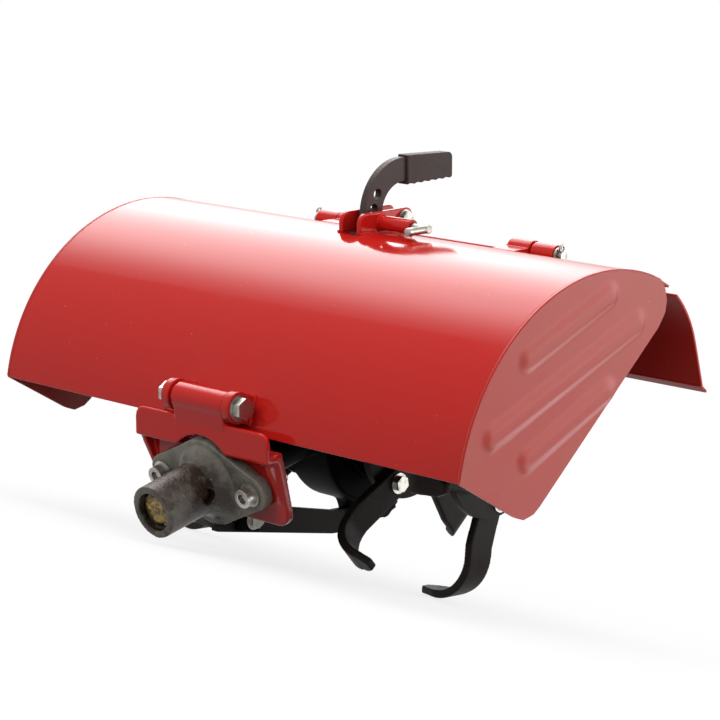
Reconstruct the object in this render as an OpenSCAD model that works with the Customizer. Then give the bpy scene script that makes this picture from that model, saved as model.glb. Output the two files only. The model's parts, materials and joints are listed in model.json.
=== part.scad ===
// Rotary tiller attachment for a walk-behind tractor: a rounded red hood hinged over a
// tined reel, driven through a round coupling spigot at the front. Millimetres.

/* [Hood] */
// overall width of the hood
hood_w = 600; // [500:1:700]
// outer radius of the hood's arc about the reel axis
hood_r = 189.5; // [180:0.5:210]
// thickness of the hood sheet
sheet = 2.5; // [1.5:0.1:4]
// height of the hood's front edge above the reel axis, as an angle
front_angle = 10; // [4:0.5:16]
// angle where the fixed sheet ends, from the rear horizontal
rear_angle = 60; // [59:0.5:66]
// height of the pressed ribs on the end panels
rib_h = 2.5; // [1:0.5:4]

/* [Reel] */
// radius at the tine tips
tine_r = 141; // [134:1:148]
// half the width of a tine's shank
tine_hw = 15; // [11:0.5:17]
// half the width of a tine where its bend ends
tip_hw = 11; // [8:0.5:13]
// thickness of a tine
tine_t = 8; // [6:0.5:9]
// place of the inner tine flange along the axle
inner_x = 64; // [62:1:70]
// place of the outer tine flange along the axle
outer_x = 170; // [158:1:195]
// radius of a tine flange
flange_r = 57; // [50:1:62]
// thickness of a tine flange
flange_t = 8; // [6:0.5:10]
// outer bend radius of the tines on the inner flanges
bend_r = 38; // [32:1:44]
// outer bend radius of the tines on the outer flanges
outer_bend_r = 48; // [40:1:52]
// outer bend radius of the tines that lean to the gear case
near_bend_r = 18; // [16:1:20]
// radius of the axle
axle_r = 16; // [12:0.5:20]

/* [Gear case] */
// radius of the gear housing
case_r = 70; // [60:1:73]
// half the width of the gear housing
case_hw = 28; // [24:1:30]
// radius of the neck that runs to the coupling
neck_r = 24; // [22:1:28]

/* [Coupling] */
// outer radius of the spigot
spigot_r = 25; // [22:0.5:28]
// inner radius of the spigot
spigot_bore = 18; // [17:0.5:20]
// length of the spigot past its flange
spigot_l = 80; // [64:1:100]
// droop of the spigot against the hood
droop = 13; // [10:0.5:16]
// radius of the cross hole for the lock pin
lock_r = 7; // [4:0.25:8]
// distance of that hole from the flange's face
lock_a = 32; // [32:1:50]
// distance between the flange screws
screw_span = 116; // [110:1:124]
// radius of the flange screws
screw_r = 6; // [5:0.5:6.5]

/* [Lever] */
// thickness of the depth lever and the skid bar
bar_t = 8; // [6:0.5:9]
// half the gap between the lever guide plates
guide_gap = 9; // [8.5:0.5:11]

/* [Hinges] */
// radius of the front hinge bolt
bolt_r = 6; // [5:0.5:7]
// radius of the flap hinge pins
pin_r = 5; // [4:0.25:6]
// running clearance at the pins, in radius
run = 0.05; // [0.02:0.01:0.1]

/* [Hidden] */
$fn = 96;

red = [0.74, 0.20, 0.19];
black = [0.10, 0.10, 0.11];
iron = [0.42, 0.40, 0.37];
zinc = [0.72, 0.72, 0.70];
dark = [0.17, 0.17, 0.18];

// spigot base on the flange face, from the reel axis
base_y = -hood_r + 4.5;
base_z = -15.5;
tip_y = base_y - spigot_l * cos(droop);
tip_z = base_z - spigot_l * sin(droop);
// lowest corner of the spigot's end
low_y = tip_y + spigot_r * sin(droop);
low_z = tip_z - spigot_r * cos(droop);
// height of the axle when the reel lies on two rows of tips
tip_half = 22.5 - atan(tip_hw / tine_r);
axle_h = sqrt(tine_r * tine_r + tip_hw * tip_hw) * cos(tip_half);
// nose-down angle at which the spigot's end meets the floor
low_r = sqrt(low_y * low_y + low_z * low_z);
park = asin(axle_h / low_r) - atan2(-low_z, -low_y);
// turn of the reel that lays those two rows level on the floor
phase = park - 22.5;

// front hinge, flap hinge and lever pivot, from the reel axis
hinge_r = hood_r + 16;
hinge_y = -hinge_r * cos(16.55);
hinge_z = hinge_r * sin(16.55);
flap_r = hood_r + 13.5;
flap_y = flap_r * cos(57.9);
flap_z = flap_r * sin(57.9);
pivot_y = -12;
pivot_z = case_r + 22;
// lock pin and guide bolt over the hood's crown
pin_y = 18;
pin_z = hood_r + 8.5;
stop_y = 49;
// skid bolts
skid_y = base_y + 37;
skid_z = -60;
heel_z = -case_r - 13;
// length of a flap knuckle and the place of the first one
knuckle_l = 27;
knuckle_x = 100;
// hood ends
half_w = hood_w / 2;
in_r = hood_r - sheet;

// the whole part is drawn about the reel axis, pitched onto the floor and
// moved so that the centre of the spigot's end is the origin
module located() rotate([park, 0, 0]) translate([0, -tip_y, -tip_z]) children();

// a profile in the side view, drawn out along the axle
module side(w, x = 0) translate([x - w / 2, 0, 0]) rotate([90, 0, 90]) linear_extrude(height = w) children();
module rod(r, x0, x1) translate([x0, 0, 0]) rotate([0, 90, 0]) cylinder(r = r, h = x1 - x0);
module at(y, z) translate([0, y, z]) children();
// along the coupling axis, with +Z running forward out of the spigot
module along() translate([0, base_y, base_z]) rotate([90 + droop, 0, 0]) children();
module both() { children(); mirror([1, 0, 0]) children(); }
// points along an arc, for rounded outlines
function arc(c, r, a, b, n = 6) = [for (i = [0:n]) [c[0] + r * cos(a + (b - a) * i / n), c[1] + r * sin(a + (b - a) * i / n)]];
// hexagon head or nut lying along X from x
module hex(r, x, h) translate([x, 0, 0]) rotate([0, 90, 0]) cylinder(r = r, h = h, $fn = 6);

module gear_case() color(black) located() difference() {
  union() {
    rod(case_r, -case_hw, case_hw);
    along() translate([0, 0, -160]) cylinder(r = neck_r, h = 145);
    along() translate([0, 0, -18]) flange_plate(10);
    // ear for the lever pivot
    side(34) hull_bar([pivot_y, pivot_z], [pivot_y, 40], 15);
    // lugs that carry the skid
    side(20) polygon([[base_y + 19, skid_z - 2], [base_y + 19, skid_z - 9], [skid_y + 10, skid_z - 15], [skid_y + 12, skid_z + 16], [skid_y + 3, -10], [base_y + 22, -16]]);
    side(20) polygon([[-24, -60], [-14, heel_z - 7], [14, heel_z - 7], [20, -60]]);
  }
  rod(axle_r + run, -60, 60);
  along() translate([0, 0, -60]) cylinder(r = 11 + run, h = 100);
  // slots for the lever and the skid
  at(pivot_y, pivot_z) translate([-bar_t / 2 - 1, -30, -20]) cube([bar_t + 2, 60, 60]);
  side(bar_t) skid_shape();
  at(pivot_y, pivot_z) rod(bolt_r + run, -40, 40);
  at(skid_y, skid_z) rod(5 + run, -40, 40);
  at(0, heel_z) rod(4 + run, -40, 40);
  for (s = [-1, 1]) along() translate([s * screw_span / 2, 0, -60]) cylinder(r = screw_r + run, h = 100);
}
// a bar with one round end, in the side view
module hull_bar(a, b, r) {
  translate(a) circle(r = r);
  translate([a[0] - r, b[1]]) square([2 * r, a[1] - b[1]]);
}
// two-eared plate square to the coupling axis, its edges running from boss to ears
module flange_plate(t) linear_extrude(height = t) {
  boss = 42;
  ear = 17;
  d = screw_span / 2;
  a = acos((boss - ear) / d);
  circle(r = boss);
  for (s = [-1, 1]) translate([s * d, 0]) circle(r = ear);
  polygon([[d + 0.99 * ear * cos(a), 0.99 * ear * sin(a)], [0.99 * boss * cos(a), 0.99 * boss * sin(a)], [-0.99 * boss * cos(a), 0.99 * boss * sin(a)], [-d - 0.99 * ear * cos(a), 0.99 * ear * sin(a)],
    [-d - 0.99 * ear * cos(a), -0.99 * ear * sin(a)], [-0.99 * boss * cos(a), -0.99 * boss * sin(a)], [0.99 * boss * cos(a), -0.99 * boss * sin(a)], [d + 0.99 * ear * cos(a), -0.99 * ear * sin(a)]]);
}

module bearing_cap(s) color(black) located() mirror([s > 0 ? 0 : 1, 0, 0]) difference() {
  union() {
    rod(46, case_hw, case_hw + 6);
    rod(30, case_hw + 5, case_hw + 12);
    for (k = [0:5]) rotate([k * 60, 0, 0]) at(38, 0) rod(5, case_hw + 5, case_hw + 10);
  }
  rod(axle_r + run, 0, 70);
}
module bearing_cap_left() bearing_cap(-1);
module bearing_cap_right() bearing_cap(1);

module coupling_flange() color(iron) located() along() difference() {
  union() {
    flange_plate(12);
    translate([0, 0, 11]) cylinder(r1 = 37, r2 = spigot_r + 0.5, h = 13);
    cylinder(r = spigot_r, h = spigot_l);
  }
  translate([0, 0, -1]) cylinder(r = spigot_bore, h = spigot_l + 2);
  translate([0, 0, lock_a]) rotate([0, 90, 0]) cylinder(r = lock_r, h = 60);
  for (s = [-1, 1]) translate([s * screw_span / 2, 0, -1]) cylinder(r = screw_r + run, h = 40);
}

// socket-head screws
module flange_screws() color(zinc) located() for (s = [-1, 1]) along() translate([s * screw_span / 2, 0, 0]) difference() {
  union() {
    translate([0, 0, -30]) cylinder(r = screw_r, h = 43);
    translate([0, 0, 12]) cylinder(r = screw_r + 3, h = 12);
  }
  translate([0, 0, 18]) cylinder(r = screw_r - 0.8, h = 10, $fn = 6);
}

// bracket between the coupling flange and the case that carries the front hinge
module hood_bracket() color(red) located() difference() {
  union() {
    along() translate([0, 0, -8]) linear_extrude(height = 8)
      polygon(concat([[88, 38], [-88, 38]], arc([-74, -20], 14, 180, 270), arc([74, -20], 14, 270, 360)));
    // stepped apron with rounded corners, and the shelf behind it
    at(hinge_y - 3, 0) rotate([90, 0, 0]) linear_extrude(height = 5)
      polygon(concat([[-88, 14], [88, 14]], arc([78, 32], 10, 0, 90), arc([-78, 32], 10, 90, 180)));
    side(176) polygon([[hinge_y - 7, 14], [base_y, 14], [base_y, 20], [hinge_y - 7, 20]]);
    for (x = [-82, 82]) side(6, x) polygon([[hinge_y - 6, 16], [base_y + 2, -26], [base_y - 2, 18]]);
    side(66) polygon([[hinge_y - 8, 36], [hinge_y + 4, 36], [hinge_y + 12, hinge_z], [hinge_y - 12, hinge_z]]);
    at(hinge_y, hinge_z) rod(13, -34, 34);
  }
  at(hinge_y, hinge_z) rod(bolt_r + run, -60, 60);
  along() translate([0, 0, -20]) cylinder(r = spigot_bore, h = 40);
  // room for both flanges under the shelf, and for the skid's nose
  along() translate([0, 0, -40]) cylinder(r = 46, h = 32);
  along() cylinder(r = 46, h = 40);
  side(bar_t + 2) polygon([[base_y - 15, -76], [base_y + 25, -76], [base_y + 25, -34], [base_y - 15, -34]]);
  for (s = [-1, 1]) along() translate([s * screw_span / 2, 0, -20]) cylinder(r = screw_r + run, h = 40);
}

module hinge_bolt() color(zinc) located() at(hinge_y, hinge_z) {
  rod(bolt_r, -54, 46);
  hex(10.4, 45.5, 8);
  hex(10.4, -54, 8.5);
}

// flat bar under the gear case, swept up behind the heel
module skid_shape() polygon([[base_y - 3, -60.5], [base_y - 3, -65.5], [-39, heel_z - 14], [-4, heel_z - 17], [35, heel_z - 10], [49, heel_z - 5], [46, heel_z + 3],
  [27, heel_z + 6], [-4, heel_z + 6], [-36, heel_z + 8], [-93, -61], [base_y + 35, -47], [base_y + 19, -45], [base_y + 13, -60.5]]);
module depth_skid() color(black) located() difference() {
  side(bar_t) skid_shape();
  at(skid_y, skid_z) rod(5 + run, -40, 40);
  at(0, heel_z) rod(4 + run, -40, 40);
}
module skid_bolts() color(zinc) located() {
  at(skid_y, skid_z) { rod(5, -16, 12); hex(8, 10, 7); hex(8, -17, 7); }
  at(0, heel_z) { rod(4, -15, 12); hex(7.4, 10, 6); hex(7.4, -16, 6); }
}
module lever_pivot() color(zinc) located() at(pivot_y, pivot_z) {
  rod(bolt_r, -22, 18);
  hex(10.4, 17, 8);
  hex(10.4, -25, 8);
}

// dog-ended drive shaft inside the spigot
module input_shaft() color(iron) located() along() {
  translate([0, 0, -59]) cylinder(r = 11, h = 90);
  translate([0, 0, 22]) difference() {
    cylinder(r = spigot_bore - 2, h = spigot_l - 28);
    translate([-5, -20, spigot_l - 40]) cube([10, 40, 20]);
  }
}

module axle() color(black) located() rod(axle_r, -outer_x - 16, outer_x + 16);

// one tine hanging straight down from x, leaning to side s: a shank with its bolt hole, a
// bend that narrows, and a pointed blade of length l past the bend
module tine(x, s, br, l) translate([x, 0, 0]) mirror([s > 0 ? 0 : 1, 0, 0]) {
  mid = tine_r - br;
  difference() {
    side(tine_t) polygon([[30, -30], [2, -26], [-tine_hw, -mid + 12], [-tine_hw, -mid], [tine_hw, -mid], [tine_hw, -mid + 4]]);
    at(tine_bolt_y, tine_bolt_z) rod(tine_bolt_r + run, -20, 20);
  }
  translate([br - tine_t / 2, 0, -mid]) intersection() {
    union() {
      rotate([90, 0, 0]) rotate([0, 0, 180]) rotate_extrude(angle = 86) translate([br - tine_t, -tine_hw]) square([tine_t, 2 * tine_hw]);
      rotate([0, 4, 0]) translate([-3, -tine_hw - 0.5, -br + 0.3]) cube([l + 3, 2 * tine_hw + 1, tine_t - 0.6]);
    }
    // outline seen from below
    translate([0, 0, -br - 3]) linear_extrude(height = br + 4)
      polygon([[-br - 2, -tine_hw - 1], [-br + 6, -tine_hw - 1], [0, -tip_hw], [l + 2, -tip_hw * 0.15], [l + 2, tip_hw * 0.3], [l * 0.4, tip_hw * 0.95], [0, tip_hw], [-br + 6, tine_hw + 1], [-br - 2, tine_hw + 1]]);
  }
}
function is_inner(x) = abs(x) < (inner_x + outer_x) / 2;
function bend_of(x, s) = is_inner(x) ? (x * s < 0 ? near_bend_r : bend_r) : outer_bend_r;
function blade_of(x, s) = is_inner(x) ? (x * s < 0 ? 3 : 16) : 24;
// side that tine k of a flange leans to
function side_of(k, lean) = k < 2 ? lean : -lean;
module around(turn) for (k = [0:3]) rotate([phase + turn + k * 90, 0, 0]) { $k = k; children(); }
module tine_set(x, lean, turn) around(turn) {
  s = side_of($k, lean);
  tine(x + s * (flange_t + tine_t) / 2, s, bend_of(x, s), blade_of(x, s));
}
module tines_left_inner() color(black) located() tine_set(-inner_x, 1, 45);
module tines_left_outer() color(black) located() tine_set(-outer_x, -1, 0);
module tines_right_inner() color(black) located() tine_set(inner_x, -1, 45);
module tines_right_outer() color(black) located() tine_set(outer_x, -1, 0);

// sleeve with two flanges that the tines are bolted to
module reel(s) mirror([s > 0 ? 0 : 1, 0, 0]) difference() {
  union() {
    rod(24, case_hw + 18, outer_x + 10);
    for (x = [inner_x, outer_x]) rod(flange_r, x - flange_t / 2, x + flange_t / 2);
  }
  rod(axle_r, -300, 300);
  around(45) at(tine_bolt_y, tine_bolt_z) rod(tine_bolt_r + run, inner_x - 20, inner_x + 20);
  around(0) at(tine_bolt_y, tine_bolt_z) rod(tine_bolt_r + run, outer_x - 20, outer_x + 20);
}
module reel_left() color(black) located() reel(-1);
module reel_right() color(black) located() reel(1);

// bolts that hold the tines to their flanges
tine_bolt_y = 13;
tine_bolt_z = -42;
tine_bolt_r = 5;
module tine_bolts(x, lean, turn) around(turn) at(tine_bolt_y, tine_bolt_z) {
  a = side_of($k, lean) > 0 ? x - flange_t / 2 : x - flange_t / 2 - tine_t;
  rod(tine_bolt_r, a - 1, a + flange_t + tine_t + 1);
  hex(8, a - 6, 6);
  hex(8, a + flange_t + tine_t, 6);
}
module tine_bolts_left() color(zinc) located() { tine_bolts(-inner_x, 1, 45); tine_bolts(-outer_x, -1, 0); }
module tine_bolts_right() color(zinc) located() { tine_bolts(inner_x, -1, 45); tine_bolts(outer_x, -1, 0); }

// rolled sheet over the reel
module hood_shell() color(red) located() difference() {
  rotate([90, 0, 90]) rotate([0, 0, rear_angle]) rotate_extrude(angle = 180 - front_angle - rear_angle)
    translate([in_r, -half_w + sheet]) square([sheet, hood_w - 2 * sheet]);
  translate([-guide_gap, -14, hood_r - 40]) cube([2 * guide_gap, 72, 60]);
}
module panel_shape() intersection() {
  circle(r = hood_r);
  union() {
    polygon([[-hood_r * cos(front_angle), hood_r * sin(front_angle)], [-115, -10], [-104, -14], [-92, -12], [-84, -7], [77, 129], [86, 141], [88, 152], [85, 164], [76, 176], [60, 200], [-250, 200]]);
  }
}
module rib(a, b) {
  l = sqrt(pow(b[0] - a[0], 2) + pow(b[1] - a[1], 2));
  translate(a) rotate(atan2(b[1] - a[1], b[0] - a[0])) { circle(r = 9); translate([0, -9]) square([l, 18]); translate([l, 0]) circle(r = 9); }
}
module end_panel(s) {
  side(sheet, s * (half_w - sheet / 2)) panel_shape();
  side(rib_h, s * (half_w + rib_h / 2)) { rib([-99, 124], [8, 165]); rib([-145, 63], [47, 135]); rib([-100, 36], [6, 80]); }
}
module end_panel_left() color(red) located() end_panel(-1);
module end_panel_right() color(red) located() end_panel(1);

// ears on the hood that turn on the front hinge bolt
module hood_ears() color(red) located() for (x = [-40, 40]) difference() {
  side(9, x) difference() {
    union() {
      translate([hinge_y, hinge_z]) circle(r = 15);
      translate([hinge_y, hinge_z]) rotate(-16.55) translate([0, -13.5]) square([24, 27]);
    }
    circle(r = hood_r);
  }
  at(hinge_y, hinge_z) rod(bolt_r + run, -100, 100);
}

// plates either side of the depth lever
module lever_guides() color(red) located() difference() {
  for (x = [-guide_gap - 2.5, guide_gap + 2.5]) side(5, x) difference() {
    polygon(concat([[-12, hood_r - 40], [66, hood_r - 40], [60, hood_r + 8]], arc([52, hood_r + 11], 8, 20, 90), arc([-2, hood_r + 9], 10, 90, 180)));
    circle(r = hood_r);
  }
  at(pin_y, pin_z) rod(4 + run, -60, 60);
  at(stop_y, pin_z) rod(4 + run, -60, 60);
}
module guide_bolt() color(zinc) located() at(stop_y, pin_z) {
  rod(4, -guide_gap - 9, guide_gap + 9);
  hex(7.4, guide_gap + 5, 5.5);
  hex(7.4, -guide_gap - 10.5, 5.5);
}
module pin_tube() color(red) located() at(pin_y, pin_z) difference() {
  rod(7, guide_gap + 5, guide_gap + 45);
  rod(4 + run, 0, 100);
}
// spring pin drawn back clear of the lever, with its bent handle
module lock_pin() color(zinc) located() at(pin_y, pin_z) {
  rod(4, guide_gap, guide_gap + 66);
  translate([guide_gap + 62, 4, 0]) rotate([90, 0, 0]) cylinder(r = 4, h = 30);
}

// hinges between hood and flap
module hood_knuckles() color(red) located() both() difference() {
  at(flap_y, flap_z) {
    rod(11, knuckle_x, knuckle_x + knuckle_l);
    translate([knuckle_x, -30, -7]) cube([knuckle_l, 30, 12]);
  }
  at(flap_y, flap_z) rod(pin_r, 0, 400);
  rod(hood_r, 0, 400);
}
module flap_pins() color(zinc) located() both() at(flap_y, flap_z) {
  rod(pin_r, knuckle_x - 3, knuckle_x + 2 * knuckle_l + 9);
  rod(7, knuckle_x - 5, knuckle_x - 0.5);
}

// centre of the flap's own bend, which runs on from the hood's arc
flap_bend = 105;
flap_c = [(hood_r - flap_bend) * cos(68.2), (hood_r - flap_bend) * sin(68.2)];
module flap_shape() {
  difference() {
    translate(flap_c) circle(r = flap_bend);
    translate(flap_c) circle(r = flap_bend - sheet);
    polygon([flap_c, [flap_c[0] + 400 * cos(47), flap_c[1] + 400 * sin(47)], [-400, 400], [-400, -400], [flap_c[0] + 400 * cos(16), -400], [flap_c[0] + 400 * cos(16), flap_c[1] + 400 * sin(16)]]);
  }
  translate(flap_c) rotate(16) translate([flap_bend - sheet, -46]) square([sheet, 46.5]);
  translate(flap_c) rotate(16) translate([flap_bend - sheet, -46]) rotate(35) translate([0, -9]) square([sheet, 11]);
}
module flap() color(red) located() {
  side(hood_w) flap_shape();
  // edge turned up between the hinges
  side(2 * knuckle_x - 20) translate(flap_c) rotate(46.5) translate([flap_bend - sheet, -1]) square([19, sheet]);
}
module flap_knuckles() color(red) located() both() difference() {
  union() {
    at(flap_y, flap_z) rod(10, knuckle_x + knuckle_l + 2, knuckle_x + 2 * knuckle_l + 2);
    side(knuckle_l, knuckle_x + 1.5 * knuckle_l + 2) difference() {
      polygon([[flap_y - 2, flap_z - 6], [flap_y + 4, flap_z - 30], [flap_y + 18, flap_z - 26], [flap_y + 9, flap_z + 5]]);
      translate(flap_c) circle(r = flap_bend);
    }
  }
  at(flap_y, flap_z) rod(pin_r + run, 0, 400);
}

// flat bar from the gear case's ear to the grip, with the pin's holes in its crook
crook = [57.5, hood_r + 13.5];
module lever_shape() difference() {
  union() {
    translate([pivot_y, pivot_z]) circle(r = 12);
    polygon(concat([[pivot_y - 10, pivot_z - 6], [pivot_y + 10, pivot_z - 6], [pivot_y + 11.5, pivot_z + 3]], arc(crook, 29, 180, 90, 12),
      [[108, hood_r + 43.5], [108, hood_r + 62.5]], arc(crook, 52, 90, 180, 16), [[pivot_y - 11.5, pivot_z + 3]]));
  }
  translate([pivot_y, pivot_z]) circle(r = bolt_r + run);
  for (a = [150, 171]) translate(crook) rotate(a) translate([40.5, 0]) circle(r = 5);
}
module depth_lever() color(dark) located() side(bar_t) lever_shape();
// moulded grip with finger scallops along its lower edge
module lever_grip() color(black) located() difference() {
  side(14) polygon(concat([for (i = [0:30]) [61 + i * 2, hood_r + 38.5 + 0.03 * i + 1.3 * abs(sin(i * 36))]], arc([119, hood_r + 43], 5, -30, 0, 2), arc([119, hood_r + 60], 5, 0, 90, 4), [[61, hood_r + 67.5]]));
  side(bar_t) polygon([[50, hood_r + 42.5], [57.5, hood_r + 42.5], [108, hood_r + 43.5], [108, hood_r + 62.5], [57.5, hood_r + 65.5], [50, hood_r + 65.5]]);
}

gear_case();
bearing_cap_left();
bearing_cap_right();
coupling_flange();
flange_screws();
hood_bracket();
hinge_bolt();
depth_skid();
skid_bolts();
lever_pivot();
input_shaft();
axle();
reel_left();
reel_right();
tines_left_inner();
tines_left_outer();
tines_right_inner();
tines_right_outer();
tine_bolts_left();
tine_bolts_right();
hood_shell();
end_panel_left();
end_panel_right();
hood_ears();
lever_guides();
guide_bolt();
pin_tube();
lock_pin();
hood_knuckles();
flap_pins();
flap();
flap_knuckles();
depth_lever();
lever_grip();
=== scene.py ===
import bpy
import bmesh
import json
import math
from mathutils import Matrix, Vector, noise


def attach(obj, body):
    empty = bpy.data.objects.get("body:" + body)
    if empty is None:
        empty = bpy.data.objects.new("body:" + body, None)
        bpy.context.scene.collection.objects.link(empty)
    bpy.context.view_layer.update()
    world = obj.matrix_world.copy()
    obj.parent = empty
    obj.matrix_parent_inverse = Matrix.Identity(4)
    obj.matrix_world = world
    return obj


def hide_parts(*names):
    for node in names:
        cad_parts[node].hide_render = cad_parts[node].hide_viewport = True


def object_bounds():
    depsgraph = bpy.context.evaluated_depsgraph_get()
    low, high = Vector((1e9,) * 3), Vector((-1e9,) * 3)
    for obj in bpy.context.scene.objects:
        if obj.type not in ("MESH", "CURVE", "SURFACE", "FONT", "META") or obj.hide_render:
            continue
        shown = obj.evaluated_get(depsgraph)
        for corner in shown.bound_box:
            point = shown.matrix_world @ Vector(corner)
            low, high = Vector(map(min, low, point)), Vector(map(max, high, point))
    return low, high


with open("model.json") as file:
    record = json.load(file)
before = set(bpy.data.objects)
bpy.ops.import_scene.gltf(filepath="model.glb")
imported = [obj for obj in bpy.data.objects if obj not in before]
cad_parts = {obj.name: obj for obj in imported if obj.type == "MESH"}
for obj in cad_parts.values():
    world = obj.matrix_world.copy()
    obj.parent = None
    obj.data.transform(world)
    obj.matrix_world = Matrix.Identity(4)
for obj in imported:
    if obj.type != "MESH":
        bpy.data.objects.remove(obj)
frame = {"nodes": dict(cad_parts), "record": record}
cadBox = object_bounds()
bodyOfNode = {node: body for body, nodes in frame["record"]["behaviour"]["bodies"].items() for node in nodes}
slotOfNode = {part["node"]: part["material_slot"] for part in frame["record"]["subparts"]}
scene = bpy.context.scene
creaseAngle = 40  # degrees; sharper edges are shaded as edges
print("frame loaded:", len(frame["nodes"]), "nodes")

# places are measured in mm from the reel axis, before the machine is pitched onto the floor
layout = {
    "pitch": 17.983529786743855, "tipY": -262.949605, "tipZ": -33.496084,
    "hoodRadius": 189.5, "halfWidth": 300, "sheet": 2.5, "hingeAngle": 163.45, "hingeRadius": 205.5,
    "flapRadius": 203, "flapAngle": 57.9, "flapCentre": (31.3803, 78.4571), "flapBend": 105,
    "couplingY": -185, "couplingZ": -15.5, "droop": 13, "reelTurn": -4.516470213256145,
}


def spot(x, y, z):  # mm from the reel axis to metres in the part's frame
    pitch = math.radians(layout["pitch"])
    y, z = y - layout["tipY"], z - layout["tipZ"]
    return Vector((x, y * math.cos(pitch) - z * math.sin(pitch), y * math.sin(pitch) + z * math.cos(pitch))) / 1000


def around(x, radius, degrees, centre=(0, 0)):  # a spot on a circle in the side view
    turn = math.radians(degrees)
    return spot(x, centre[0] + radius * math.cos(turn), centre[1] + radius * math.sin(turn))


def alongCoupling(x, up, out):  # a spot on the coupling axis, out past the flange's face
    droop = math.radians(layout["droop"])
    return spot(x, layout["couplingY"] - out * math.cos(droop) - up * math.sin(droop),
                layout["couplingZ"] - out * math.sin(droop) + up * math.cos(droop))


def linearColour(text):  # sRGB hex to linear
    channels = [int(text[i:i + 2], 16) / 255 for i in (1, 3, 5)]
    return tuple(c / 12.92 if c <= 0.04045 else ((c + 0.055) / 1.055) ** 2.4 for c in channels) + (1.0,)


def addNode(tree, kind, settings=None, links=None):
    node = tree.nodes.new(kind)
    for key, value in (settings or {}).items():
        if isinstance(key, int) or key in node.inputs:
            node.inputs[key].default_value = value
        else:
            setattr(node, key, value)
    for key, source in (links or {}).items():
        tree.links.new(source, node.inputs[key])
    return node


def startMaterial(name):
    material = bpy.data.materials.new(name)
    material.use_nodes = True
    tree = material.node_tree
    tree.nodes.clear()
    output = tree.nodes.new("ShaderNodeOutputMaterial")
    place = addNode(tree, "ShaderNodeTexCoord").outputs["Object"]
    return material, tree, output, place


# camera carried over from the photograph's fit, in metres
camera = {"place": (1.77976, -1.67972, 0.13187), "turn": (90.9949, -12.4575, 42.8887), "lens": 136.593}
lens = bpy.data.cameras.new("photoCamera")
lens.lens = camera["lens"]
lens.sensor_width = 36
lens.clip_end = 50
eye = bpy.data.objects.new("photoCamera", lens)
eye.location = camera["place"]
eye.rotation_euler = [math.radians(a) for a in camera["turn"]]
scene.collection.objects.link(eye)
scene.camera = eye
scene.view_settings.view_transform = "Standard"
print("camera placed")

# a noise scale of lumpScale / mm gives lumps of about that many millimetres
lumpScale = 625

# enamel sprayed on rolled sheet: glossy, with faint orange peel, a dust film and a few specks and chips
enamel = {"name": "sprayedRedEnamel", "colour": "#BE1F19", "film": "#B02A22", "speck": "#D98A7C", "nick": "#5E1512",
          "roughness": 0.08, "gloss": 0.17, "peelMm": 5, "filmMm": 110, "speckMm": 2.2, "nickMm": 7}


def makeEnamel(look):
    material, tree, output, place = startMaterial(look["name"])
    film = addNode(
        tree, "ShaderNodeTexNoise", {"Scale": lumpScale / look["filmMm"], "Detail": 5.0, "Roughness": 0.6},
        {"Vector": place}).outputs["Fac"]
    filmMask = addNode(
        tree, "ShaderNodeMapRange", {"From Min": 0.48, "From Max": 0.75, "To Max": 0.5},
        {"Value": film}).outputs[0]
    speck = addNode(
        tree, "ShaderNodeTexNoise", {"Scale": lumpScale / look["speckMm"], "Detail": 1.0},
        {"Vector": place}).outputs["Fac"]
    speckMask = addNode(
        tree, "ShaderNodeMapRange", {"From Min": 0.80, "From Max": 0.84, "To Max": 0.7},
        {"Value": speck}).outputs[0]
    nick = addNode(
        tree, "ShaderNodeTexNoise", {"Scale": lumpScale / look["nickMm"], "Detail": 6.0, "Roughness": 0.7},
        {"Vector": place}).outputs["Fac"]
    nickMask = addNode(
        tree, "ShaderNodeMapRange", {"From Min": 0.745, "From Max": 0.76, "To Max": 0.75},
        {"Value": nick}).outputs[0]
    tone = addNode(
        tree, "ShaderNodeMix", {"data_type": "RGBA", 6: linearColour(look["colour"]), 7: linearColour(look["film"])},
        {0: filmMask}).outputs[2]
    dusty = addNode(
        tree, "ShaderNodeMix", {"data_type": "RGBA", 7: linearColour(look["speck"])},
        {0: speckMask, 6: tone}).outputs[2]
    chipped = addNode(
        tree, "ShaderNodeMix", {"data_type": "RGBA", 7: linearColour(look["nick"])},
        {0: nickMask, 6: dusty}).outputs[2]
    rough = addNode(
        tree, "ShaderNodeMapRange", {
            "From Min": 0.35, "From Max": 0.8, "To Min": look["roughness"], "To Max": look["roughness"] + 0.14},
        {"Value": film}).outputs[0]
    peel = addNode(
        tree, "ShaderNodeTexNoise", {"Scale": lumpScale / look["peelMm"], "Detail": 2.0},
        {"Vector": place}).outputs["Fac"]
    skin = addNode(tree, "ShaderNodeBump", {"Strength": 0.035, "Distance": 0.001}, {"Height": peel}).outputs[0]
    shader = addNode(
        tree, "ShaderNodeBsdfPrincipled", {"IOR": 1.5, "Specular IOR Level": look["gloss"]},
        {"Base Color": chipped, "Roughness": rough, "Normal": skin})
    tree.links.new(shader.outputs[0], output.inputs[0])
    return material


redEnamel = makeEnamel(enamel)

# the same enamel on the end panels, dulled by a film of dust; the pale pink film colour is partly real dust and
# partly a painted sheen, standing in for the whitish reflection the panels take from the side
dustAndSheenEnamel = makeEnamel({
    **enamel, "name": "dustAndSheenRedEnamel", "colour": "#B72B1C", "film": "#AC5138",
    "roughness": 0.3, "gloss": 0.33, "filmMm": 60})

# the flap's enamel: thinner and duller, with a satin sheen
flapEnamel = makeEnamel({**enamel, "name": "satinRedEnamel", "colour": "#C82C24", "roughness": 0.36, "gloss": 0.14})

# sand-cast iron left raw: grainy skin, brown oil film, green traces of primer and a few bright rubs
# the oil colour also darkens the spigot, whose end is the origin, as painted shade, fading from shadeNear to shadeFar
# metres away
rawIron = {
    "name": "rawSandCastIron", "colour": "#77736A", "oilAndShade": "#2A1D18", "primer": "#5F6A52", "rub": "#A9A498",
    "sandMm": 1.6, "stainMm": 34, "traceMm": 9, "rubMm": 4, "shadeNear": 0.055, "shadeFar": 0.095,
}


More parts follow.
